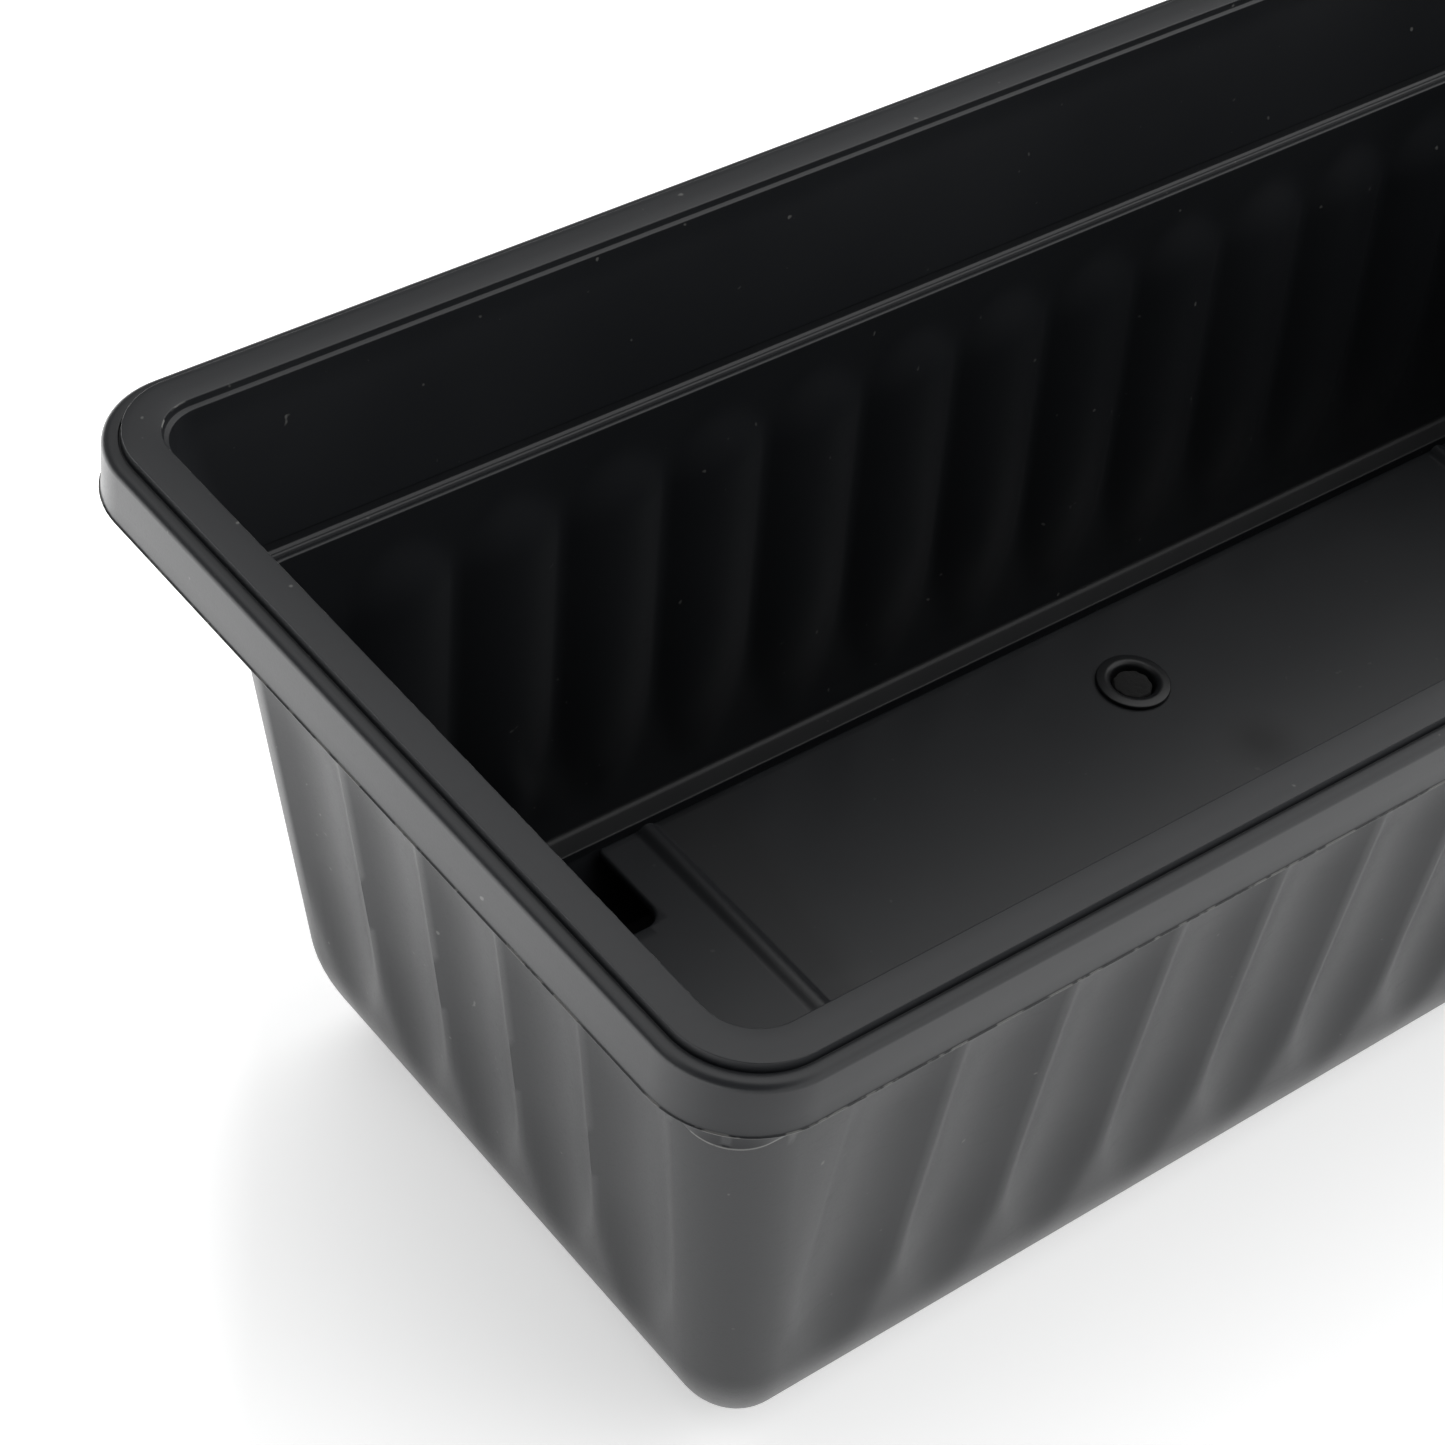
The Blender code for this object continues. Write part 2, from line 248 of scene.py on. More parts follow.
def wall_radius(depth):
    share = (depth - SKIRT_DEPTH) / (HEIGHT - SKIRT_DEPTH)
    radius = TOP_RADIUS + (FOOT_RADIUS - TOP_RADIUS) * share - 0.6 * turn_in(depth)
    return max(radius, SMALLEST_RADIUS)


def wall_thickness(depth):
    share = (depth - SHELF_DEPTH) / (HEIGHT - LEDGE_TOP - SHELF_DEPTH)
    return LOWER_WALL + (FOOT_WALL - LOWER_WALL) * min(share, 1.0)


def scallop(across, level):
    """Groove depth, 0 to 1, at a place across a flute (0 to 1), where its cutter stands at level."""
    raw = level - (2 * across - 1) ** 2
    soft = 0.5 * (raw + math.sqrt(raw * raw + CUSP * CUSP))
    full = 0.5 * (1 + math.sqrt(1 + CUSP * CUSP))
    return max(soft - 0.5 * CUSP * CUSP, 0.0) / full * smooth(level, CLOSED, 0.1)


def flute_level(depth, inside):
    """Where the round cutter stands: 1 at full depth, 0 where the groove has just closed."""
    foot = 1 - ((depth - ARCH_START) / (ARCH_TIP - ARCH_START)) ** 2 if depth > ARCH_START else 1.0
    if not inside:
        return foot
    return min(foot, CLOSED + (1 - CLOSED) * smooth(depth, BULGE_TOP, BULGE_FULL))


def flute_share(depth, inside):
    if inside:
        return 1.0
    return SHALLOW_SHARE + (1 - SHALLOW_SHARE) * fade(depth, STEP_FOOT, BULGE_FULL)


def side_points(pitch, count, limit, level, share):
    """(along, groove) points over a fluted side."""
    half_run = count * pitch / 2
    squeeze = min(1.0, limit / half_run)
    points = []
    for j in range(count * FLUTE_STEPS + 1):
        across = (j % FLUTE_STEPS) / FLUTE_STEPS
        groove = FLUTE_DEPTH * share * scallop(across, level) if share else 0.0
        points.append(((-half_run + j * pitch / FLUTE_STEPS) * squeeze, groove))
    return points


def arc(x, y, radius, start, z):
    points = []
    for i in range(1, CORNER_STEPS):
        a = math.radians(start + 90 * i / CORNER_STEPS)
        points.append((x + radius * math.cos(a), y + radius * math.sin(a), z))
    return points


def ring(inset_x, inset_y, radius, z, level=0.0, share=0.0):
    """One level of the box: a rounded rectangle with grooves, always with the same point count."""
    half_x = HALF_X - inset_x
    half_y = HALF_Y - inset_y
    tiny = 0.5 * MM
    corner_x = half_x - radius
    corner_y = half_y - radius
    along_x = side_points(LONG_PITCH, LONG_FLUTES, corner_x - tiny, level, share)
    along_y = side_points(END_PITCH, END_FLUTES, corner_y - tiny, level, share)
    long_side = [(-corner_x, 0.0)] + along_x + [(corner_x, 0.0)]
    end_side = [(-corner_y, 0.0)] + along_y + [(corner_y, 0.0)]
    points = [(a, -half_y + g, z) for a, g in long_side]
    points += arc(corner_x, -corner_y, radius, -90, z)
    points += [(half_x - g, a, z) for a, g in end_side]
    points += arc(corner_x, corner_y, radius, 0, z)
    points += [(-a, half_y - g, z) for a, g in long_side]
    points += arc(-corner_x, corner_y, radius, 90, z)
    points += [(-half_x + g, -a, z) for a, g in end_side]
    points += arc(-corner_x, -corner_y, radius, 180, z)
    return points


def outer_level(depth, radius=None):
    inset_x, inset_y = wall_inset(depth)
    return ring(inset_x, inset_y, radius or wall_radius(depth), HEIGHT - depth,
                flute_level(depth, False), flute_share(depth, False))


def inner_level(depth, wall):
    inset_x, inset_y = wall_inset(depth)
    radius = max(wall_radius(depth) - wall, SMALLEST_RADIUS)
    return ring(inset_x + wall, inset_y + wall, radius, HEIGHT - depth,
                flute_level(depth, True), 1.0)


def upper_level(inset, radius, depth):
    """A plain level of the wall above the step, its inset measured from the shelf's back edge."""
    back_x, back_y = shelf_back()
    return ring(back_x + inset, back_y + inset, radius, HEIGHT - depth)


def shelf_back():
    """Insets of the shelf's back edge, where the upper wall's inner face stands on it."""
    return [value + LOWER_WALL - SHELF_WIDTH for value in wall_inset(SHELF_DEPTH)]


def rim_level(out, z):
    share = max(out, 0.0) / RIM_OVERHANG
    radius = MOUTH_RADIUS + (RIM_RADIUS - MOUTH_RADIUS) * share
    return ring(-out, -out, radius, z)


def steps_between(start, end, count):
    return [start + (end - start) * i / count for i in range(count + 1)]


def outside_rings():
    depths = [HEIGHT - TURN_HEIGHT * (1 - math.cos(math.pi / 2 * i / 16)) for i in range(16)]
    depths += steps_between(HEIGHT - TURN_HEIGHT, ARCH_START, 16)
    depths += steps_between(ARCH_START - 4 * MM, CORNER_STEP + 0.5 * MM, 12)
    base = [ring(*(inset + 2 * MM for inset in wall_inset(HEIGHT)), SMALLEST_RADIUS, 0.0)]
    corners = [outer_level(CORNER_STEP, CORNER_RADIUS - 2 * FLASH),
               outer_level(CORNER_STEP - 0.3 * MM, CORNER_RADIUS - 2 * FLASH),
               outer_level(CORNER_STEP - 0.7 * MM, CORNER_RADIUS), outer_level(STEP_FOOT, CORNER_RADIUS)]
    step = [upper_level(-UPPER_WALL, UPPER_RADIUS, STEP_TOP),
            upper_level(-UPPER_WALL - 0.1 * MM, UPPER_RADIUS, STEP_TOP - 0.6 * MM)]
    return base + [outer_level(depth) for depth in depths] + corners + step


def rim_profile():
    """(out, z) points of the rim from the skirt's inside, over the top and down the lip."""
    band = HEIGHT - RISER
    skirt_foot = HEIGHT - SKIRT_DEPTH
    skirt_in = RIM_OVERHANG - RIM_WALL
    skirt_top = RIM_OVERHANG - SKIRT_DRAFT
    outline = rounded([(2 * MM, band - RIM_WALL), (skirt_in, band - RIM_WALL),
                       (skirt_in, skirt_foot + 0.3 * MM)], SHOULDER, 5)
    outline += [(skirt_in + 0.3 * MM, skirt_foot), (RIM_OVERHANG - 0.6 * MM, skirt_foot)]
    outline += [(RIM_OVERHANG - 0.05 * MM, skirt_foot + 0.02 * MM), (RIM_OVERHANG, skirt_foot + 0.18 * MM),
                (RIM_OVERHANG - 0.28 * MM, skirt_foot + 0.34 * MM),
                (RIM_OVERHANG - 0.3 * MM, skirt_foot + 0.6 * MM)]
    outline += [(skirt_top, skirt_foot + 4 * MM)]
    for i in range(11):
        a = math.pi / 2 * i / 10
        outline.append((skirt_top - SHOULDER * (1 - math.cos(a)), band - SHOULDER * (1 - math.sin(a))))
    outline += rounded([(FLANGE_WIDTH + 1.2 * MM, band), (FLANGE_WIDTH + 0.5 * MM, band),
                        (FLANGE_WIDTH + 0.42 * MM, band - CREVICE), (FLANGE_WIDTH + 0.2 * MM, band - CREVICE),
                        (FLANGE_WIDTH, HEIGHT - 0.1 * MM), (FLANGE_WIDTH - 1.5 * MM, HEIGHT)], 0.16 * MM, 4)
    outline += rounded([(3 * MM, HEIGHT), (0.0, HEIGHT), (-0.15 * MM, HEIGHT - 0.5 * LIP_DEPTH)],
                       0.25 * MM, 4)
    outline += rounded([(-0.2 * MM, HEIGHT - 0.6 * LIP_DEPTH), (-0.25 * MM, HEIGHT - 0.75 * LIP_DEPTH),
                        (-LIP_STEP, HEIGHT - 0.85 * LIP_DEPTH),
                        (-LIP_STEP - 0.1 * MM, HEIGHT - 1.8 * LIP_DEPTH)],
                       0.2 * MM, 3)
    return outline


def inside_rings():
    rings = []
    top_depth = 1.8 * LIP_DEPTH
    back = shelf_back()
    shelf_radius = UPPER_RADIUS - UPPER_WALL
    for t in (0.12, 0.3, 0.5, 0.7, 0.85, 0.95):
        depth = top_depth + (SHELF_DEPTH - top_depth) * t
        insets = [LIP_STEP + 0.1 * MM + (inset - LIP_STEP) * t for inset in back]
        radius = MOUTH_RADIUS - LIP_STEP + (shelf_radius - MOUTH_RADIUS + LIP_STEP) * t
        rings.append(ring(insets[0], insets[1], radius, HEIGHT - depth))
    w = SHELF_WIDTH
    shelf = rounded([(-0.02 * w, 2.5 * MM), (0.0, 0.5 * MM), (0.17 * w, 0.25 * MM), (0.24 * w, -0.3 * MM),
                     (0.62 * w, -0.42 * MM), (0.72 * w, 0.1 * MM), (w, 0.0), (1.05 * w, -2.5 * MM)],
                    0.35 * MM, 4)
    for out, z in shelf:
        radius = shelf_radius + (wall_radius(SHELF_DEPTH) - LOWER_WALL - shelf_radius) * out / w
        rings.append(ring(back[0] + out, back[1] + out, radius, HEIGHT - SHELF_DEPTH + z))
    depths = steps_between(SHELF_DEPTH + 3.2 * MM, BULGE_FULL, 12)
    depths += steps_between(BULGE_FULL + 4 * MM, ARCH_START - 2 * MM, 7)
    depths += steps_between(ARCH_START, HEIGHT - LEDGE_TOP - LEDGE_FILLET, 14)
    return rings + [inner_level(depth, wall_thickness(depth)) for depth in depths]


def basin_rings():
    """The concave fillet, the ledge with its rounded edge, and the basin under the false floor."""
    fillet_top = HEIGHT - LEDGE_TOP - LEDGE_FILLET
    top_x, top_y = (value + FOOT_WALL for value in wall_inset(fillet_top))
    radius = wall_radius(HEIGHT - LEDGE_TOP) - FOOT_WALL
    rings = []
    for i in range(1, 8):
        a = math.pi / 2 * i / 7
        inset = LEDGE_FILLET * (1 - math.cos(a))
        height = LEDGE_TOP + LEDGE_FILLET * (1 - math.sin(a))
        rings.append(ring(top_x + inset, top_y + inset, max(radius, BASIN_RADIUS), height))
    edge = rounded([(-0.9 * MM, LEDGE_TOP), (0.0, LEDGE_TOP), (0.3 * MM, LEDGE_TOP - 2.0 * MM),
                    (7.5 * MM, BASE + 3 * MM), (10.5 * MM, BASE), (14 * MM, BASE)], 0.55 * MM, 5)
    for inset, z in edge:
        rings.append(ring(LEDGE_INSET[0] + inset, LEDGE_INSET[1] + inset, LEDGE_RADIUS, z))
    return rings


def planter_shell(material):
    rings = outside_rings()
    rings += [rim_level(out, z) for out, z in rim_profile()]
    rings += inside_rings()
    rings += basin_rings()
    shell = make_piece("planter_shell", loft(rings), material, "box", ["planter_box"])
    drills = bmesh.new()
    for side in (-1, 1):
        profile = [(DRAIN_RADIUS, -5 * MM), (DRAIN_RADIUS, 8 * MM)]
        add_mesh(drills, turned(profile, ROUND_HOLE, (side * DRAIN_X, 0.0)))
    apply_cut(shell, drills)
    return shell


# ---- False floor ---------------------------------------------------------------------------------
PLATE_TOP = 20.2 * MM
PLATE_THICK = 2.2 * MM
PLATE_GAP = 1.3 * MM
NOTCH = (62 * MM, 24 * MM)
NOTCH_RADIUS = 4.5 * MM
NOTCH_TIP = 1.4 * MM                        # radius where the notch meets the plate's edge
RIB_X = 126 * MM
RIB_WIDTH = 6.4 * MM
RIB_HEIGHT = 1.5 * MM
GRID_STEP = 2.5 * MM                        # of the plate's top, for its uneven surface
RIB_GRID_STEP = 0.35 * MM
SINK = (-118 * MM, -2 * MM)                 # a shallow sink mark
SINK_RADIUS = 9 * MM
SINK_DEPTH = 0.25 * MM
WAVE = 0.25 * MM                            # slow unevenness of the top
LEG_RADIUS = 4.0 * MM
LEG_X = (-176 * MM, -72 * MM, 72 * MM, 176 * MM)
LEG_Y = (-34 * MM, 34 * MM)
WICK_XY = {"rear": (0.0, 38.5 * MM), "front": (0.0, -38.5 * MM)}
NECK_RADIUS = 6.4 * MM
COLLAR_RADIUS = 9.0 * MM
COLLAR_HEIGHT = 2.0 * MM
COLLAR_BORE = 5.3 * MM
FRAY = 0.25 * MM                            # unevenness of a wick's top
GAP = 0.3 * MM                              # between parts that touch


def fine_arc(x, y, radius, start, sweep, count=10):
    points = []
    for i in range(count + 1):
        a = math.radians(start + sweep * i / count)
        points.append((x + radius * math.cos(a), y + radius * math.sin(a)))
    return points


def plate_outline(inward):
    """The false floor's outline with its corner notch, anticlockwise, moved inward."""
    half_x = HALF_X - LEDGE_INSET[0] - PLATE_GAP
    half_y = HALF_Y - LEDGE_INSET[1] - PLATE_GAP
    corner = LEDGE_RADIUS - PLATE_GAP
    small = corner - inward
    notch_x = -half_x + NOTCH[0]
    notch_y = half_y - NOTCH[1]
    tip = NOTCH_TIP
    points = fine_arc(-half_x + corner, -half_y + corner, small, 180, 90)
    points += fine_arc(half_x - corner, -half_y + corner, small, 270, 90)
    points += fine_arc(half_x - corner, half_y - corner, small, 0, 90)
    points += fine_arc(notch_x + tip, half_y - tip, tip - inward, 90, 90)
    points += fine_arc(notch_x - NOTCH_RADIUS, notch_y + NOTCH_RADIUS, NOTCH_RADIUS + inward, 0, -90)
    points += fine_arc(-half_x + tip, notch_y - tip, tip - inward, 90, 90)
    return points


def plate_relief(x, y):
    """Height of the false floor's top over its flat level."""
    height = 0.0
    for side in (-1, 1):
        across = x - side * RIB_X
        height += RIB_HEIGHT * hump(across, RIB_WIDTH / 2)
    height -= SINK_DEPTH * hump(math.hypot(x - SINK[0], y - SINK[1]), SINK_RADIUS)
    height += WAVE * noise.noise(Vector((x * 9, y * 14, 0.3)))
    return height


def false_floor(material):
    """The plate is cut into a fine grid, and its top follows plate_relief."""
    underside = PLATE_TOP - PLATE_THICK
    edge = [(0.35 * MM, underside), (0.0, underside + 0.35 * MM), (0.0, PLATE_TOP - 0.7 * MM),
            (0.1 * MM, PLATE_TOP - 0.35 * MM), (0.35 * MM, PLATE_TOP - 0.1 * MM), (0.7 * MM, PLATE_TOP)]
    rings = [[(x, y, z) for x, y in plate_outline(inward)] for inward, z in edge]
    bm = loft(rings)
    lines_x = [i * GRID_STEP for i in range(-84, 85)]
    for side in (-1, 1):
        lines_x += [side * RIB_X + i * RIB_GRID_STEP for i in range(-15, 16)]
    lines_y = [i * GRID_STEP for i in range(-26, 27)]
    grid_cut(bm, lines_x, Vector((1, 0, 0)))
    grid_cut(bm, lines_y, Vector((0, 1, 0)))
    for vert in bm.verts:
        if vert.co.z > PLATE_TOP - 0.02 * MM:
            border = any(len(e.link_faces) == 2 and min(f.normal.z for f in e.link_faces) < 0.7
                         for e in vert.link_edges)
            vert.co.z += plate_relief(vert.co.x, vert.co.y) * (0.3 if border else 1.0)
    plate = make_piece("false_floor_plate", bm, material, "false_floor", ["reservoir_plate"],
                       50)
    holes = bmesh.new()
    hole = [(NECK_RADIUS + GAP, underside - 2 * MM), (NECK_RADIUS + GAP, PLATE_TOP + 3 * MM)]
    for centre in WICK_XY.values():
        add_mesh(holes, turned(hole, ROUND_HOLE, centre))
    apply_cut(plate, holes)
    return plate


def grid_cut(bm, places, direction):
    """Cuts the plate's flat top along planes at the given places."""
    for place in places:
        near = [f for f in bm.faces
                if f.calc_center_median().z > PLATE_TOP - 0.05 * MM and spans(f, place, direction)]
        geometry = set(near)
        for face in near:
            geometry.update(face.edges)
            geometry.update(face.verts)
        bmesh.ops.bisect_plane(bm, geom=list(geometry), plane_co=direction * place, plane_no=direction,
                               dist=1e-6)


def spans(face, place, direction):
    """Whether a face reaches across a cutting plane."""
    values = [vert.co.dot(direction) for vert in face.verts]
    return min(values) < place - 1e-5 and max(values) > place + 1e-5


def plate_legs(material):
    bm = bmesh.new()
    underside = PLATE_TOP - PLATE_THICK
    foot = BASE + GAP
    profile = [(LEG_RADIUS - 0.8 * MM, foot), (LEG_RADIUS - 0.2 * MM, foot + 0.25 * MM),
               (LEG_RADIUS, foot + 0.9 * MM),
               (LEG_RADIUS + 0.25 * MM, underside - 1.5 * MM), (LEG_RADIUS + 0.6 * MM, underside - 0.5 * MM),
               (LEG_RADIUS + 1.3 * MM, underside + 0.1 * MM), (LEG_RADIUS - 1 * MM, underside + 0.2 * MM)]
    for x in LEG_X:
        for y in LEG_Y:
            add_mesh(bm, turned(profile, 32, (x, y)))
    return make_piece("false_floor_legs", bm, material, "false_floor", ["reservoir_plate"])


def wick_collar(name, centre, material):
    seat = PLATE_TOP + GAP
    top = PLATE_TOP + COLLAR_HEIGHT - 0.6 * MM
    foot = PLATE_TOP - PLATE_THICK - 3 * MM
    flange = rounded([(NECK_RADIUS, seat), (COLLAR_RADIUS, seat), (COLLAR_RADIUS - 0.1 * MM, seat + 0.7 * MM),
                      (COLLAR_RADIUS - 1.3 * MM, top - 0.15 * MM), (COLLAR_RADIUS - 2.4 * MM, top),
                      (COLLAR_BORE + 0.2 * MM, top - 0.7 * MM), (COLLAR_BORE, top - 2.4 * MM)], 0.5 * MM, 5)
    profile = [(COLLAR_BORE, foot), (NECK_RADIUS - 0.4 * MM, foot), (NECK_RADIUS, foot + 0.8 * MM)] + flange
    bm = turned_loop(profile, 72, centre)
    return make_piece("collar_" + name, bm, material, "false_floor", ["wick_collar_" + name])


def wick(name, centre, material):
    """A rod of twisted fibres with an uneven top."""
    radius = COLLAR_BORE - GAP
    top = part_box("wick_" + name)[1][2]
    low = BASE + GAP
    segments = 48
    rings = []
    heights = [low, low + 0.6 * MM] + steps_between(low + 1.2 * MM, top - 0.8 * MM, 14)
    heights += [top - 0.3 * MM, top]
    shares = [0.86, 0.95] + [0.96] * 15 + [0.9, 0.72]
    for height, share in zip(heights, shares):
        points = []
        for i in range(segments):
            a = 2 * math.pi * i / segments
            strand = 0.5 + 0.5 * math.cos(9 * a + height * 900)
            r = radius * (share - 0.05 * (1 - strand))
            lift = 0.0
            if share < 0.93:
                lift = FRAY * noise.noise(Vector((7 * math.cos(a), 7 * math.sin(a), 1.7)))
            points.append((centre[0] + r * math.cos(a), centre[1] + r * math.sin(a), height + abs(lift)))
        rings.append(points)
    return make_piece("fibre_" + name, loft(rings), material, "false_floor", ["wick_" + name])


def drain_plug(name, x, material):
    stem = DRAIN_RADIUS - GAP
    seat = BASE + GAP
    outline = rounded([(0.4 * MM, 0.7 * MM), (stem - 0.6 * MM, 0.7 * MM), (stem, 1.4 * MM), (stem, seat),
                       (DRAIN_RADIUS + 2.5 * MM, seat), (DRAIN_RADIUS + 2.5 * MM, seat + 1.4 * MM),
                       (4.2 * MM, seat + 1.8 * MM), (3.4 * MM, seat + 4.0 * MM), (4.5 * MM, seat + 5.4 * MM),
                       (3.6 * MM, seat + 6.4 * MM), (0.4 * MM, seat + 6.4 * MM)], 0.4 * MM, 4)
    return make_piece("plug_" + name, turned(outline, 56, (x, 0.0)), material, name + "_plug",
                      ["drain_plug_" + name])


# ---- Materials -----------------------------------------------------------------------------------
PLASTIC_IOR = 1.37
# Pale tone of the plastic's specks, and of the painted highlights along edges.
PALE_SPECK_AND_HIGHLIGHT = (0.22, 0.22, 0.21)
# Painted shade: the dark tone mixed into the ledge and into the false floor's spot and wedge.
PAINTED_SHADE = (0.0045, 0.0048, 0.0055)
CLOUD_SCALE = 14.0                          # noise scales, in ripples per metre
RUB_SCALE = 12.0
RUB_STRETCH = (9.0, 60.0, 60.0)
SPECK_SCALE = 420.0
GRAIN_SCALE = 2600.0
GRAIN_HEIGHT = 0.08 * MM
CORNER_PRODUCT = (0.0158, 0.0164)           # x times y, in square metres: this large at two corners only
END_ZONE = (12 * MM, 4 * MM)                # from the mouth's end, where its painted highlight flecks fade in


class Nodes:
    """Short calls for building a material's node tree."""

    def __init__(self, name):
        self.material = bpy.data.materials.new(name)
        self.material.use_nodes = True
        self.tree = self.material.node_tree
        self.shader = self.tree.nodes["Principled BSDF"]

    def add(self, kind):
        return self.tree.nodes.new(kind)

    def link(self, source, target):
        self.tree.links.new(source, target)

    def position(self):
        return self.add("ShaderNodeTexCoord").outputs["Object"]

    def normal(self):
        return self.add("ShaderNodeTexCoord").outputs["Normal"]

    def stretched(self, vector, scale):
        mapping = self.add("ShaderNodeMapping")
        mapping.inputs["Scale"].default_value = scale
        self.link(vector, mapping.inputs["Vector"])
        return mapping.outputs["Vector"]

    def noise(self, vector, scale, detail=3.0, roughness=0.5):
        node = self.add("ShaderNodeTexNoise")
        node.inputs["Scale"].default_value = scale
        node.inputs["Detail"].default_value = detail
        node.inputs["Roughness"].default_value = roughness
        self.link(vector, node.inputs["Vector"])
        return node.outputs["Fac"]

    def remap(self, value, low, high, to_low, to_high):
        node = self.add("ShaderNodeMapRange")
        node.inputs["From Min"].default_value = low
        node.inputs["From Max"].default_value = high
        node.inputs["To Min"].default_value = to_low
        node.inputs["To Max"].default_value = to_high
        self.link(value, node.inputs["Value"])
        return node.outputs["Result"]

    def math(self, operation, first, second=0.0):
        node = self.add("ShaderNodeMath")
        node.operation = operation
        for socket, value in zip(node.inputs, (first, second)):
            if isinstance(value, (int, float)):
                socket.default_value = value
            else:
                self.link(value, socket)
        return node.outputs["Value"]

    def vector_math(self, operation, first, second):
        """The dot product or the distance of two vectors, of which the second may be fixed."""
        node = self.add("ShaderNodeVectorMath")
        node.operation = operation
        self.link(first, node.inputs[0])
        if isinstance(second, tuple):
            node.inputs[1].default_value = second
        else:
            self.link(second, node.inputs[1])
        return node.outputs["Value"]

    def mix(self, factor, first, second):
        node = self.add("ShaderNodeMix")
        node.data_type = "RGBA"
        self.link(factor, node.inputs["Factor"])
        for socket, colour in ((node.inputs[6], first), (node.inputs[7], second)):
            if isinstance(colour, tuple):
                socket.default_value = (*colour, 1.0)
            else:
                self.link(colour, socket)
        return node.outputs[2]

    def bump(self, height, strength, distance, normal=None):
        node = self.add("ShaderNodeBump")
        node.inputs["Strength"].default_value = strength
        node.inputs["Distance"].default_value = distance
        self.link(height, node.inputs["Height"])
        if normal is not None:
            self.link(normal, node.inputs["Normal"])
        return node.outputs["Normal"]


def moulded_plastic(name, dark, light, roughness, specks=0.35, grain=0.12, painted_light_marks=()):
    """Charcoal moulded plastic: fine matte grain, cloudy sheen, faint rubs and pale specks.

    Each mark gives (mask, tone) from the nodes and position: painted highlight on an edge, painted shade in a
    patch.
    """
    n = Nodes(name)
    at = n.position()
    cloud = n.noise(at, CLOUD_SCALE, 4.0)
    fine = n.noise(at, GRAIN_SCALE, 2.0)
    rubs = n.noise(n.stretched(at, RUB_STRETCH), RUB_SCALE, 5.0, 0.7)
    tone = n.mix(n.remap(cloud, 0.35, 0.65, 0.0, 1.0), dark, light)
    speck = n.noise(at, SPECK_SCALE, 1.0, 0.4)
    speck_mask = n.remap(speck, 0.78, 0.83, 0.0, specks)
    tone = n.mix(speck_mask, tone, PALE_SPECK_AND_HIGHLIGHT)
    rough = n.math("ADD", n.remap(cloud, 0.3, 0.7, roughness - 0.02, roughness + 0.03),
                   n.remap(rubs, 0.55, 0.75, 0.0, 0.05))
    rough = n.math("ADD", rough, n.remap(fine, 0.3, 0.7, -0.02, 0.02))
    for painted_light_mark in painted_light_marks:
        mask, colour = painted_light_mark(n, at)
        # The painted highlight or painted shade is mixed into the tone, and the place is made rougher.
        tone = n.mix(mask, tone, colour)
        rough = n.math("ADD", rough, n.math("MULTIPLY", mask, 0.2))
    n.link(tone, n.shader.inputs["Base Color"])
    n.link(rough, n.shader.inputs["Roughness"])
    n.link(n.bump(fine, grain, GRAIN_HEIGHT), n.shader.inputs["Normal"])
    n.shader.inputs["IOR"].default_value = PLASTIC_IOR
    return n.material


def apart(n, at):
    """The X, Y and Z of a vector."""
    node = n.add("ShaderNodeSeparateXYZ")
    n.link(at, node.inputs[0])
    return node.outputs


def band_at(n, at, height, half_width):
    """1 in a thin band round a height, 0 away from it."""
    off = n.math("ABSOLUTE", n.math("SUBTRACT", apart(n, at)["Z"], height))
    return n.remap(off, half_width * 0.6, half_width, 1.0, 0.0)


def outward(n, at):
    """How far a place lies outside the mouth's edge, measured square to the nearer side."""
    along = apart(n, at)
    past_x = n.math("SUBTRACT", n.math("ABSOLUTE", along["X"]), HALF_X)
    past_y = n.math("SUBTRACT", n.math("ABSOLUTE", along["Y"]), HALF_Y)
    return n.math("MAXIMUM", past_x, past_y)


def broken(n, at, scale, cover):
    """Patches of 1 among 0: the higher the cover, the fewer they are."""
    return n.remap(n.noise(at, scale, 3.0, 0.6), cover, cover + 0.05, 0.0, 1.0)


def skirt_highlight(n, at):
    """Painted highlight: a broken pale line along the foot of the skirt."""
    line = n.math("MULTIPLY", band_at(n, at, HEIGHT - SKIRT_DEPTH + 0.2 * MM, 0.22 * MM),
                  n.remap(outward(n, at), 1 * MM, 2 * MM, 0.0, 0.45))
    return n.math("MULTIPLY", line, broken(n, at, 150.0, 0.52)), PALE_SPECK_AND_HIGHLIGHT


def corner_highlight(n, at):
    """Painted highlight: a pale line where the near left corner and the one opposite it step in."""
    outside = n.remap(n.vector_math("DOT_PRODUCT", n.normal(), at), 0.02, 0.05, 0.0, 0.5)
    along = apart(n, at)
    near = n.remap(n.math("MULTIPLY", along["X"], along["Y"]), *CORNER_PRODUCT, 0.0, 1.0)
    line = n.math("MULTIPLY", band_at(n, at, HEIGHT - CORNER_STEP + 0.15 * MM, 0.3 * MM), outside)
    return n.math("MULTIPLY", n.math("MULTIPLY", line, near), broken(n, at, 240.0, 0.40)), PALE_SPECK_AND_HIGHLIGHT


def mouth_highlight(n, at):
    """Painted highlight: broken pale flecks along the mouth's edge at the end walls."""
    inside = n.remap(outward(n, at), 0.8 * MM, 1.2 * MM, 0.8, 0.0)
    line = n.math("MULTIPLY", band_at(n, at, HEIGHT - 0.22 * MM, 0.2 * MM), inside)
    end = n.remap(n.math("ABSOLUTE", apart(n, at)["X"]), HALF_X - END_ZONE[0], HALF_X - END_ZONE[1], 0.0, 1.0)
    return n.math("MULTIPLY", n.math("MULTIPLY", line, end), broken(n, at, 230.0, 0.5)), PALE_SPECK_AND_HIGHLIGHT


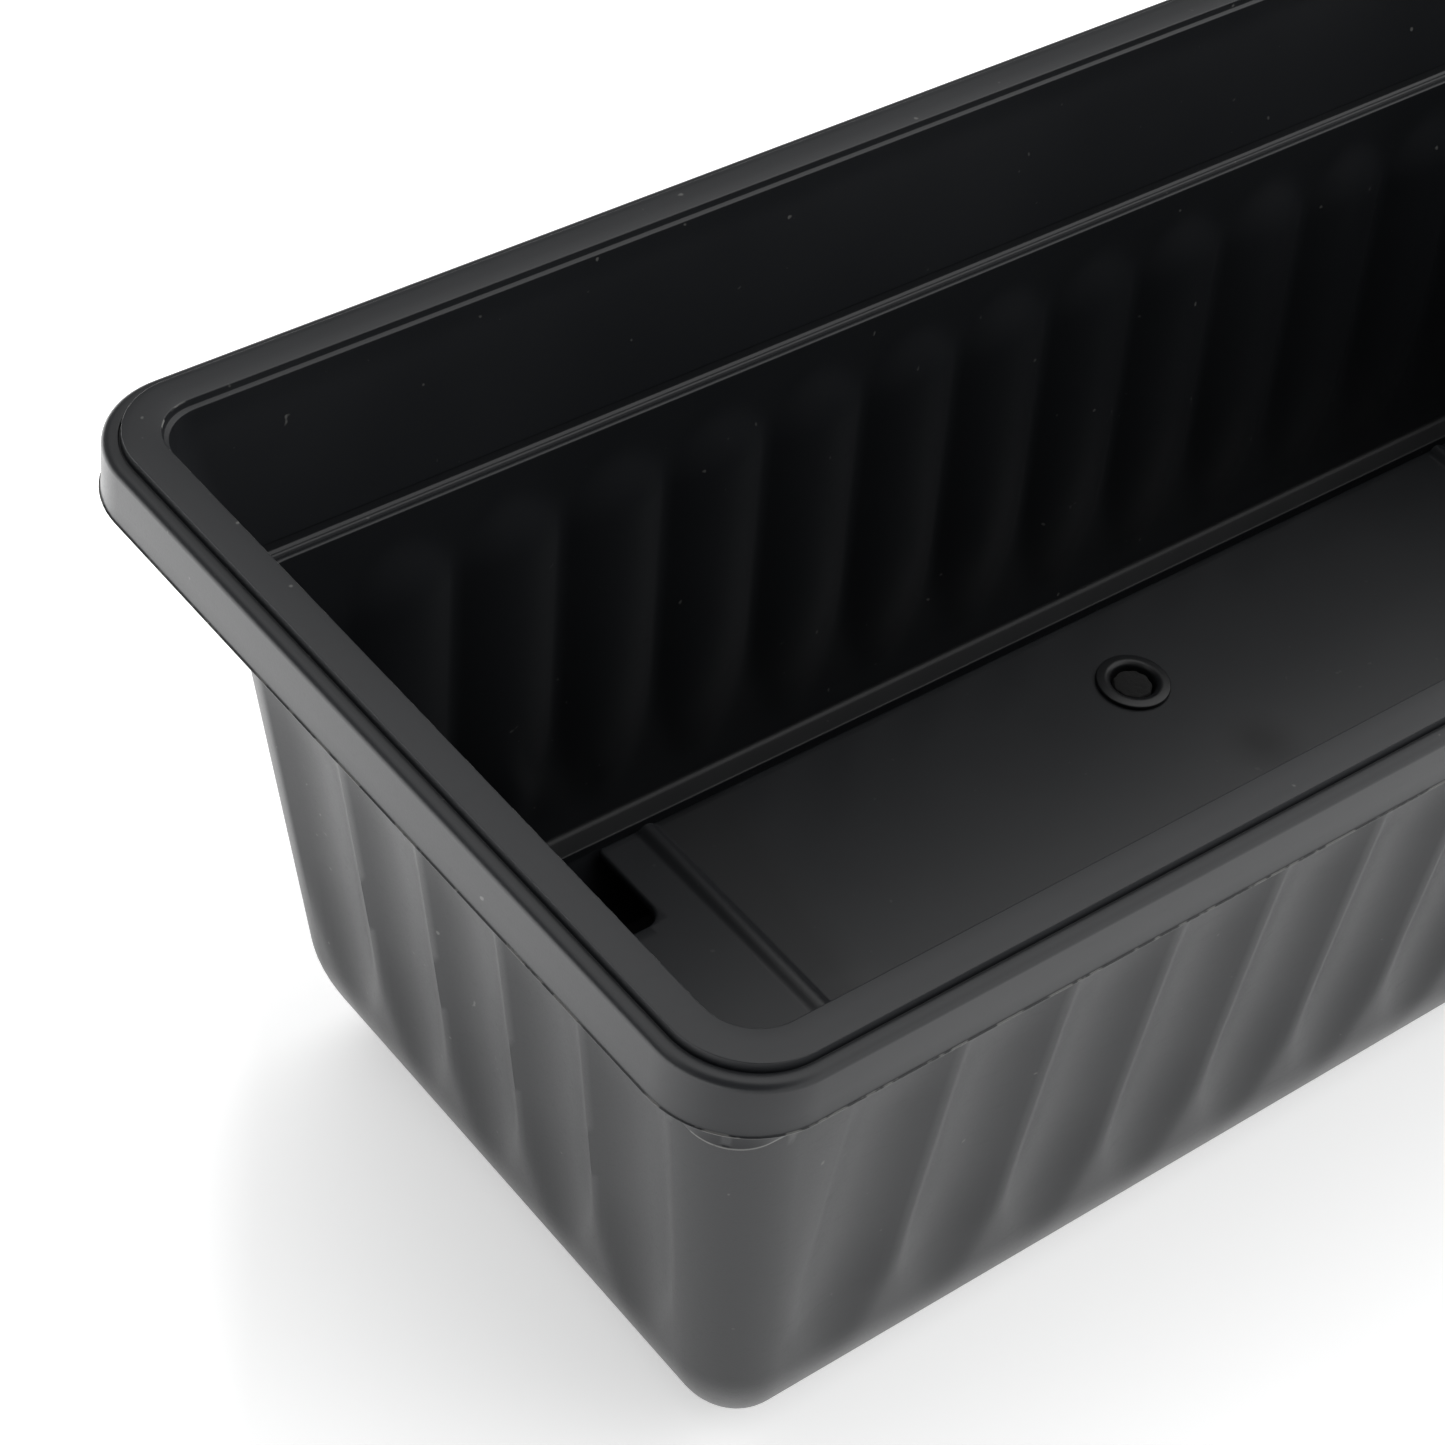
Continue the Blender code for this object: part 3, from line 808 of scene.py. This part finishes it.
def shaded_ledge(n, at):
    """Painted shade on the ledge round the false floor: its tone is darkened, and its skin made rougher."""
    upward = n.remap(apart(n, n.normal())["Z"], 0.2, 0.5, 0.0, 0.7)
    return n.math("MULTIPLY", band_at(n, at, LEDGE_TOP, 2.4 * MM), upward), PAINTED_SHADE


def painted_shade_spot(x, y, radius, strength):
    """Painted shade: a soft dark spot on the false floor."""
    def painted_light_mark(n, at):
        away = n.vector_math("DISTANCE", at, (x, y, PLATE_TOP))
        return n.remap(away, 0.2 * radius, radius, strength, 0.0), PAINTED_SHADE
    return painted_light_mark


def painted_shade_wedge(x, near_y, far_y, width, strength):
    """Painted shade: a soft dark wedge beside the rib, wide at the far end and gone at the near end."""
    def painted_light_mark(n, at):
        along = apart(n, at)
        reach = n.remap(along["Y"], near_y, far_y, 0.0, width)
        past = n.math("SUBTRACT", n.math("SUBTRACT", along["X"], x), reach)
        inside = n.remap(past, -4 * MM, 4 * MM, 1.0, 0.0)
        start = n.remap(along["X"], x - 0.5 * MM, x + 0.5 * MM, 0.0, strength)
        return n.math("MULTIPLY", inside, start), PAINTED_SHADE
    return painted_light_mark


def fibre(name):
    n = Nodes(name)
    at = n.position()
    strands = n.noise(n.stretched(at, (900.0, 900.0, 120.0)), 1.0, 4.0)
    # The fibres are near black: painted shade, standing in for the shade down in the collar's bore.
    n.link(n.mix(strands, (0.002, 0.002, 0.002), (0.006, 0.006, 0.006)), n.shader.inputs["Base Color"])
    n.shader.inputs["Roughness"].default_value = 0.92
    n.link(n.bump(strands, 0.8, 0.0004), n.shader.inputs["Normal"])
    return n.material


def rubber(name):
    n = Nodes(name)
    at = n.position()
    bloom = n.noise(at, 90.0, 4.0)
    n.link(n.mix(bloom, (0.010, 0.010, 0.010), (0.022, 0.022, 0.023)), n.shader.inputs["Base Color"])
    n.link(n.remap(bloom, 0.3, 0.7, 0.52, 0.68), n.shader.inputs["Roughness"])
    n.link(n.bump(n.noise(at, 1500.0, 2.0), 0.2, 0.0001), n.shader.inputs["Normal"])
    return n.material


# ---- Studio --------------------------------------------------------------------------------------
# The paper glows more past the planter's far left side, as the photo's background does there.
GLOW_TOWARDS = (-0.82, 0.57, 0.0)
GLOW_START, GLOW_FULL = 0.22, 0.44          # metres from the middle of the planter
GLOW_NEAR, GLOW_FAR = 0.46, 2.4
PAPER_SIZE = 6.0
STUDIO_LIGHT = 2.1
# Dim sides of the studio: direction, cosines where the shade starts and is full, and its tone.
BEHIND_CAMERA = ((-0.50, -0.52, 0.69), 0.52, 0.90, 0.07)
LOW_BACK = ((0.0, 0.5, -0.866), -0.36, -0.20, 0.12)


def floor_stage():
    bm = bmesh.new()
    bmesh.ops.create_grid(bm, x_segments=2, y_segments=2, size=PAPER_SIZE)
    mesh = bpy.data.meshes.new("studio_floor")
    bm.to_mesh(mesh)
    bm.free()
    n = Nodes("floor_paper")
    n.shader.inputs["Base Color"].default_value = (0.92, 0.92, 0.92, 1.0)
    n.shader.inputs["Roughness"].default_value = 0.9
    n.shader.inputs["Emission Color"].default_value = (1.0, 1.0, 1.0, 1.0)
    across = n.vector_math("DOT_PRODUCT", n.position(), GLOW_TOWARDS)
    glow = n.remap(across, GLOW_START, GLOW_FULL, GLOW_NEAR, GLOW_FAR)
    n.link(glow, n.shader.inputs["Emission Strength"])
    mesh.materials.append(n.material)
    floor = bpy.data.objects.new("studio_floor", mesh)
    floor.location.z = -0.2 * MM
    bpy.context.scene.collection.objects.link(floor)


def world_light(strength, shades):
    """A white studio, dimmed by the given shades."""
    world = bpy.data.worlds.new("studio")
    world.use_nodes = True
    tree = world.node_tree
    background = tree.nodes["Background"]
    background.inputs["Strength"].default_value = strength
    direction = tree.nodes.new("ShaderNodeTexCoord").outputs["Generated"]
    total = None
    for facing, start, full, tone in shades:
        towards = tree.nodes.new("ShaderNodeVectorMath")
        towards.operation = "DOT_PRODUCT"
        towards.inputs[1].default_value = facing
        tree.links.new(direction, towards.inputs[0])
        dim = tree.nodes.new("ShaderNodeMapRange")
        dim.interpolation_type = "SMOOTHSTEP"
        for socket, value in zip(dim.inputs[1:5], (start, full, 1.0, tone)):
            socket.default_value = value
        tree.links.new(towards.outputs["Value"], dim.inputs["Value"])
        if total is None:
            total = dim.outputs["Result"]
        else:
            product = tree.nodes.new("ShaderNodeMath")
            product.operation = "MULTIPLY"
            tree.links.new(total, product.inputs[0])
            tree.links.new(dim.outputs["Result"], product.inputs[1])
            total = product.outputs["Value"]
    tree.links.new(total, background.inputs["Color"])
    bpy.context.scene.world = world


def camera():
    data = bpy.data.cameras.new("camera")
    data.lens = 95.25
    data.sensor_width = 36.0
    data.clip_start = 0.02
    right = Vector((0.78321, -0.61189, 0.11032))
    up = Vector((0.36716, 0.59836, 0.71215))
    back = Vector((-0.50177, -0.51726, 0.69330))
    place = Vector((-0.5265, -0.3702, 0.6223))
    view = bpy.data.objects.new("camera", data)
    turn = Matrix((right, up, back)).transposed().to_4x4()
    view.matrix_world = Matrix.Translation(place) @ turn
    bpy.context.scene.collection.objects.link(view)
    bpy.context.scene.camera = view


# ---- Build ---------------------------------------------------------------------------------------
# Painted light: shade on the ledge, highlights along the skirt's foot, corner steps and mouth; painted shade
# on the floor.
EDGE_PAINTED_LIGHT = (shaded_ledge, skirt_highlight, corner_highlight, mouth_highlight)
FLOOR_PAINTED_SHADE = (painted_shade_spot(13 * MM, 8.5 * MM, 12 * MM, 0.75),
               painted_shade_wedge(-RIB_X + 0.5 * RIB_WIDTH, -45 * MM, 60 * MM, 20 * MM, 0.6))
shell_plastic = moulded_plastic("shell_plastic", dark=(0.0092, 0.0100, 0.0115),
                                light=(0.0114, 0.0123, 0.0140), roughness=0.34, painted_light_marks=EDGE_PAINTED_LIGHT)
floor_plastic = moulded_plastic("floor_plastic", dark=(0.0135, 0.0145, 0.0162),
                                light=(0.0158, 0.0168, 0.0186), roughness=0.33, specks=0.1,
                                painted_light_marks=FLOOR_PAINTED_SHADE)
collar_plastic = moulded_plastic("collar_plastic", dark=(0.0085, 0.0090, 0.0100),
                                 light=(0.0100, 0.0105, 0.0115), roughness=0.36, specks=0.0)
planter_shell(shell_plastic)
false_floor(floor_plastic)
plate_legs(floor_plastic)
for place, centre in WICK_XY.items():
    wick_collar(place, centre, collar_plastic)
    wick(place, centre, fibre("wick_fibre_" + place))
for side, x in (("left", -DRAIN_X), ("right", DRAIN_X)):
    drain_plug(side, x, rubber("plug_rubber_" + side))

floor_stage()
world_light(STUDIO_LIGHT, (BEHIND_CAMERA, LOW_BACK))
camera()
bpy.context.scene.view_settings.view_transform = "Standard"
